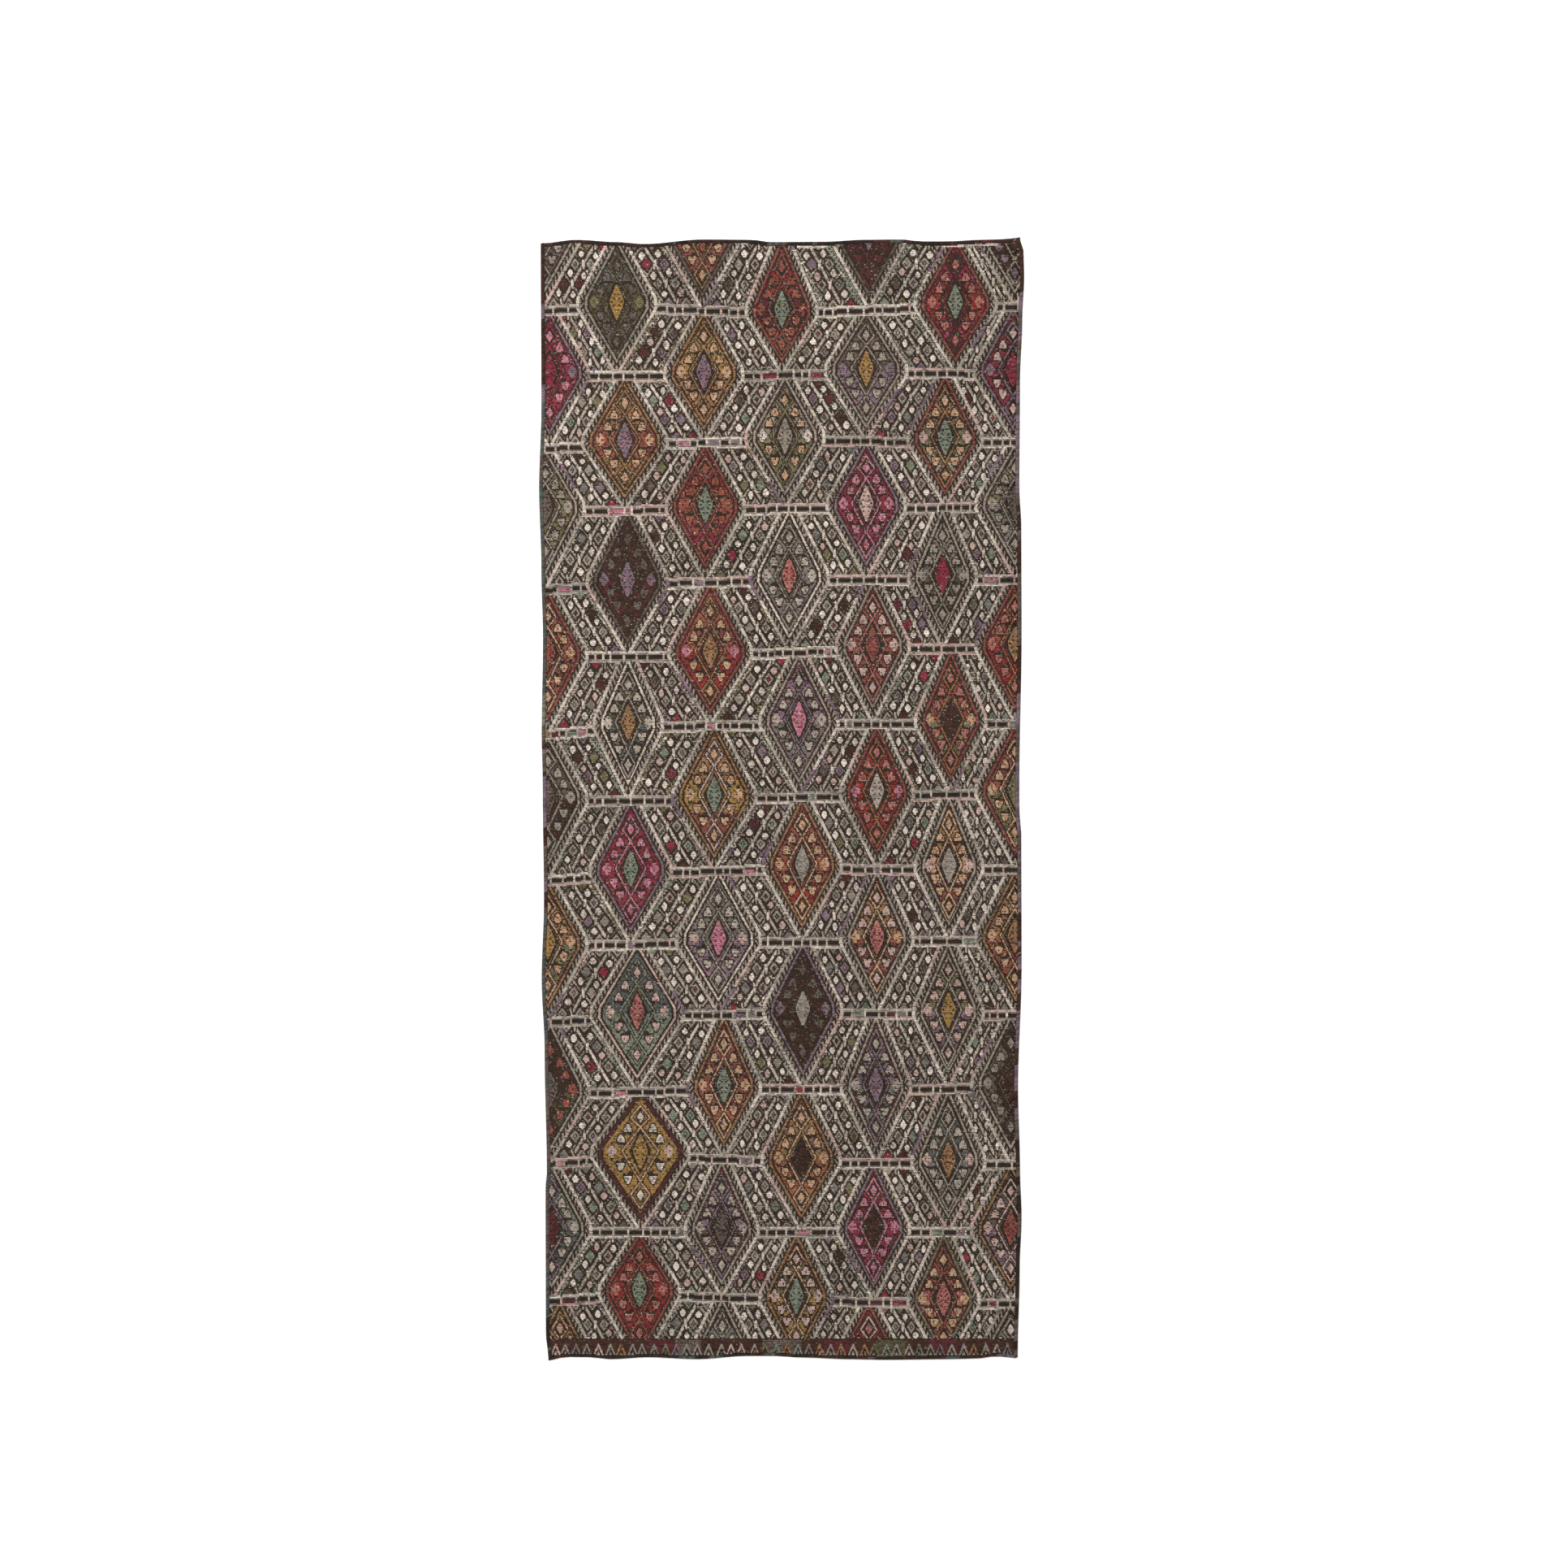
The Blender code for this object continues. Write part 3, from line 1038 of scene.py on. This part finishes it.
def layStitches(name, code):
    left, right, up = stitchesOf(code)
    count = len(left)
    if not count:
        return None
    left = left - chance.uniform(-1, 1, count) * stitch["unevenEnd"]
    right = right + chance.uniform(-1, 1, count) * stitch["unevenEnd"]
    half = stitch["halfWide"] + chance.uniform(-1, 1, count) * stitch["unevenWide"]
    crest = stitch["crest"] + chance.uniform(-1, 0, count) * stitch["unevenCrest"]
    foot = np.full(count, stitch["foot"])
    short = right - left < stitch["shortest"]
    long = ~short
    rise, slant, lean = stitch["end"], stitch["slant"], stitch["lean"]
    low, high = up - half, up + half
    middle = (left + right) / 2
    corners = [(left + lean, low, foot), (right + lean, low, foot)]
    corners += [(right - lean, high, foot), (left - lean, high, foot)]
    loaves = corners + [(left + rise, up - slant, crest), (right - rise, up + slant, crest)]
    beads = corners + [(middle, up, crest)]
    loaves = np.stack([np.stack(point, axis=-1)[long] for point in loaves], axis=1)
    beads = np.stack([np.stack(point, axis=-1)[short] for point in beads], axis=1)
    points = np.concatenate([loaves.reshape(-1, 3), beads.reshape(-1, 3)])
    # a loaf has six points and a bead has five
    first = np.arange(len(loaves))[:, None] * 6
    firstBead = len(loaves) * 6 + np.arange(len(beads))[:, None] * 5
    quads = np.concatenate([first + (0, 1, 5, 4), first + (2, 3, 4, 5)])
    triangles = [first + (3, 0, 4), first + (1, 2, 5)]
    triangles += [firstBead + sides for sides in ((0, 1, 4), (1, 2, 4), (2, 3, 4), (3, 0, 4))]
    mesh = meshFrom(name, points, quads, np.concatenate(triangles))
    unit = points[:, :2] / (clothHigh - clothLow) * flatMap["fill"] + 0.5
    addMap(mesh, unit[cornersOf(mesh)])
    shade = chance.normal(stitch["tint"], stitch["unevenTint"], count)
    shade[chance.random(count) < stitch["dullShare"]] = stitch["dullTint"]
    # painted shade: the four foot points of each stitch are tinted darker than its crest
    footTintWithPaintedShade = shade + stitch["footPaintedShade"]
    loafShades = np.stack([*[footTintWithPaintedShade] * 4, shade, shade], axis=1)[long]
    beadShades = np.stack([*[footTintWithPaintedShade] * 4, shade], axis=1)[short]
    addTint(mesh, np.clip(np.concatenate([loafShades.ravel(), beadShades.ravel()]), 0, 1))
    return mesh


for yarn, hexColour in yarns.items():
    stitchMesh = layStitches("brocade_" + yarn, yarnCode[yarn])
    if stitchMesh is None:
        continue
    material = handspunWool(yarn + "_wool", hexColour)
    addPiece("brocade_" + yarn, stitchMesh, material)
    print("brocade in", yarn, len(stitchMesh.polygons), "faces")

# Wool overcast round the four edges, one wrap beside the next, leaning a little.
overcast = {
    "sideWidth": 11.0,
    "topWidth": 10.0,
    "bottomWidth": 8.0,
    "gap": 0.3,
    "inward": 1.6,  # how far the wraps reach in over the cloth's edge
    "high": 5.1,
    "pitch": 4.4,
    "ringsPerWrap": 3,
    "lean": 0.35,
    "waist": 0.72,  # how thin it is between two wraps
    "sideSwell": 0.3,  # a wrap swells less sideways than up
    "unevenSwell": 0.03,
    "sameYarn": 7,  # about how many wraps one length of yarn makes
    "darkest": 0.2,
    # painted shade: the tint is made darker at the waist between two wraps, where shade falls
    "waistPaintedShade": 0.25,
    "profile": (
        (-1, 0.35), (-0.72, 0.85), (0, 1.0), (0.72, 0.85), (1, 0.35), (0.8, 0.0), (-0.8, 0.0),
    ),  # once round a wrap, as far across and up
    "lanes": 16,  # rows that the strip is cut into on its map
    "laneFill": (0.99, 0.9),
    "capMap": ((0.991, 0.95), (0.999, 0.95), (0.999, 0.99)),
}


def wrapEdge(name, start, stop, lineAt, alongUp, width, dyes):
    # lineAt gives the strip's middle line at a place along the edge
    perWrap = overcast["ringsPerWrap"]
    wraps = round((stop - start) / overcast["pitch"])
    rings = wraps * perWrap + 1
    along = np.linspace(start, stop, rings)
    phase = np.arange(rings) % perWrap
    swell = np.where(phase == 0, overcast["waist"], 1.0)
    swell = swell * (1 + chance.normal(0, overcast["unevenSwell"], rings))
    out, high = np.array(overcast["profile"]).T
    sideways = swell[:, None] ** overcast["sideSwell"]
    across = lineAt(along)[:, None] + out[None, :] * width / 2 * sideways
    lengthwise = along[:, None] + out[None, :] * width / 2 * overcast["lean"]
    lengthwise = np.clip(lengthwise, start, stop)
    up = high[None, :] * overcast["high"] * swell[:, None]
    pair = (across, lengthwise) if alongUp else (lengthwise, across)
    points = np.stack([*pair, up], axis=-1).reshape(-1, 3)
    count = len(out)
    ring = np.arange(rings - 1)[:, None] * count
    side = np.arange(count)[None, :]
    quads = np.stack([ring + side, ring + (side + 1) % count], axis=-1)
    quads = np.concatenate([quads, quads[..., ::-1] + count], axis=-1).reshape(-1, 4)
    fan = np.array([(0, turn, turn + 1) for turn in range(1, count - 1)])
    caps = np.concatenate([fan[:, ::-1], fan + (rings - 1) * count])
    if not alongUp:
        quads, caps = quads[:, ::-1], caps[:, ::-1]
    mesh = meshFrom(name, points, quads, caps)
    # the map cuts the strip into lanes
    perLane = math.ceil((rings - 1) / overcast["lanes"])
    lane, place = np.divmod(np.repeat(np.arange(rings - 1), count), perLane)
    turn = np.tile(np.arange(count), rings - 1)
    u = np.stack([place, place, place + 1, place + 1], axis=-1) / perLane
    v = np.stack([turn, turn + 1, turn + 1, turn], axis=-1) / count
    u, v = u * overcast["laneFill"][0], v * overcast["laneFill"][1]
    v = (v + lane[:, None]) / overcast["lanes"]
    if not alongUp:
        u, v = u[:, ::-1], v[:, ::-1]
    places = np.stack([u, v], axis=-1).reshape(-1, 2)
    capPlaces = np.tile(overcast["capMap"], (len(caps), 1))
    addMap(mesh, np.concatenate([places, capPlaces]))
    wrapOf = np.minimum(np.arange(rings) // perWrap, wraps - 1)
    shade = chance.uniform(overcast["darkest"], 1, wraps)[wrapOf]
    # painted shade: darker at each waist between two wraps
    shade = shade - overcast["waistPaintedShade"] * (phase == 0)
    addTint(mesh, np.repeat(np.clip(shade, 0, 1), count))
    dye = mesh.attributes.new("dye", "FLOAT_COLOR", "POINT")
    shades = []
    while len(shades) < wraps:
        shade = linear(dyes(along[len(shades) * perWrap]))
        shades += [shade] * int(chance.integers(1, 2 * overcast["sameYarn"]))
    shades = np.array(shades[:wraps])
    shades = np.repeat(shades[wrapOf], count, axis=0)
    dye.data.foreach_set("color", shades.astype(np.float32).ravel())
    return mesh


def sideDyes(stretches):
    # the dye of a wrap, from how far up the rug each stretch of yarn ends
    def dyeAt(place):
        names = next(names for end, names in stretches if place > end)
        return yarns[chance.choice(names.split())]

    return dyeAt


leftDyes = sideDyes([
    (1200, "brown charcoal mauve"), (700, "taupe slate"), (200, "slate sage taupe"),
    (-400, "brown mauve taupe"), (-900, "slate taupe"), (-1800, "charcoal slate taupe"),
])
rightDyes = sideDyes([
    (1500, "brown mauve"), (900, "mauve taupe"), (300, "brown taupe"),
    (-300, "taupe mauve"), (-1000, "mauve brown"), (-1800, "taupe charcoal"),
])
endDyes = sideDyes([
    (600, "maroon mauve brown"), (-1800, "charcoal charcoal charcoal brown slate"),
])
wrapTurn = math.atan(overcast["lean"])
sideLook = {**woolLook, "turn": -wrapTurn}
endLook = {**woolLook, "turn": wrapTurn - math.pi / 2}
overcastWools = {
    "side_overcast_wool": handspunWool("side_overcast", "#ffffff", sideLook, dyed=True),
    "end_overcast_wool": handspunWool("end_overcast", "#ffffff", endLook, dyed=True),
}


def cornerUp(side, end):
    # how far up a side strip ends at the top (1) or the bottom (-1) corner
    across = float(edge(side, end * weave["halfLength"]))
    name, width = ("top", overcast["topWidth"]) if end > 0 else ("bottom", overcast["bottomWidth"])
    return float(edge(name, across)) + end * (overcast["gap"] + width)


strips = {}
reach = overcast["gap"] - overcast["inward"]
for side, outward, dyes in (("left", -1, leftDyes), ("right", 1, rightDyes)):
    width = overcast["sideWidth"] + overcast["inward"]
    strips[side + "_selvedge"] = wrapEdge(
        "overcast_" + side, cornerUp(side, -1), cornerUp(side, 1),
        lambda y: edge(side, y) + outward * (reach + width / 2), True, width, dyes,
    )
ends = (("top", 1, overcast["topWidth"]), ("bottom", -1, overcast["bottomWidth"]))
for end, outward, width in ends:
    width += overcast["inward"]
    corners = [float(edge(side, outward * weave["halfLength"])) for side in ("left", "right")]
    strips[end + "_end_binding"] = wrapEdge(
        "overcast_" + end, *corners,
        lambda x: edge(end, x) + outward * (reach + width / 2), False, width, endDyes,
    )
for node, mesh in strips.items():
    slot = "side_overcast_wool" if "selvedge" in node else "end_overcast_wool"
    piece = addPiece(mesh.name, mesh, overcastWools[slot])
    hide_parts(node)
print("edges overcast")

# A plain pale floor, a white room and one broad soft lamp, with lengths in metres from here on.
studio = {
    "floorColours": ("#f1f0ee", "#f4f3f1"),
    "floorSize": 60.0,
    "world": 0.92,
    "lampPower": 420.0,
    "lampSize": 3.5,
    "lampPlace": (-3.2, 3.4, 5.5),
    "cameraPlace": (0.0075, 0.045, 11.4),
    "lens": 85.0,  # in millimetres, as its sensor is
    "sensor": 36.0,
}


def paintedFloor():
    # Matt painted floor: even and pale, with the faintest mottling
    material, tree = newMaterial("matt_floor_paint")
    place = addNode(tree, "TexCoord").outputs["Object"]
    mottle = {"Vector": place, "Scale": 2.0, "Detail": 3.0}
    mottle = addNode(tree, "TexNoise", mottle).outputs[0]
    darker, lighter = (linear(hexColour) for hexColour in studio["floorColours"])
    colour = addNode(tree, "Mix", {0: mottle, 6: darker, 7: lighter}, data_type="RGBA").outputs[2]
    paint = {"Base Color": colour, "Roughness": 0.9, "Specular IOR Level": 0.2}
    shader = addNode(tree, "BsdfPrincipled", paint).outputs[0]
    addNode(tree, "OutputMaterial", {0: shader})
    return material


half = studio["floorSize"] / 2
floorMesh = bpy.data.meshes.new("floor")
floorCorners = [(-half, -half, 0), (half, -half, 0), (half, half, 0), (-half, half, 0)]
floorMesh.from_pydata(floorCorners, [], [(0, 1, 2, 3)])
floor = bpy.data.objects.new("floor", floorMesh)
floorMesh.materials.append(paintedFloor())
scene.collection.objects.link(floor)

world = bpy.data.worlds.new("white_room")
world.use_nodes = True
background = world.node_tree.nodes["Background"]
background.inputs["Color"].default_value = (1.0, 1.0, 1.0, 1.0)
background.inputs["Strength"].default_value = studio["world"]
scene.world = world

lamp = bpy.data.lights.new("soft_lamp", "AREA")
lamp.shape = "DISK"
lamp.size = studio["lampSize"]
lamp.energy = studio["lampPower"]
lampObject = bpy.data.objects.new("soft_lamp", lamp)
lampObject.location = studio["lampPlace"]
aim = -lampObject.location
lampObject.rotation_euler = aim.to_track_quat("-Z", "Y").to_euler()
scene.collection.objects.link(lampObject)

view = bpy.data.cameras.new("camera")
view.lens = studio["lens"]
view.sensor_width = studio["sensor"]
cameraObject = bpy.data.objects.new("camera", view)
cameraObject.location = studio["cameraPlace"]
scene.collection.objects.link(cameraObject)
bpy.context.scene.camera = cameraObject
scene.view_settings.view_transform = "Standard"
print("studio set")
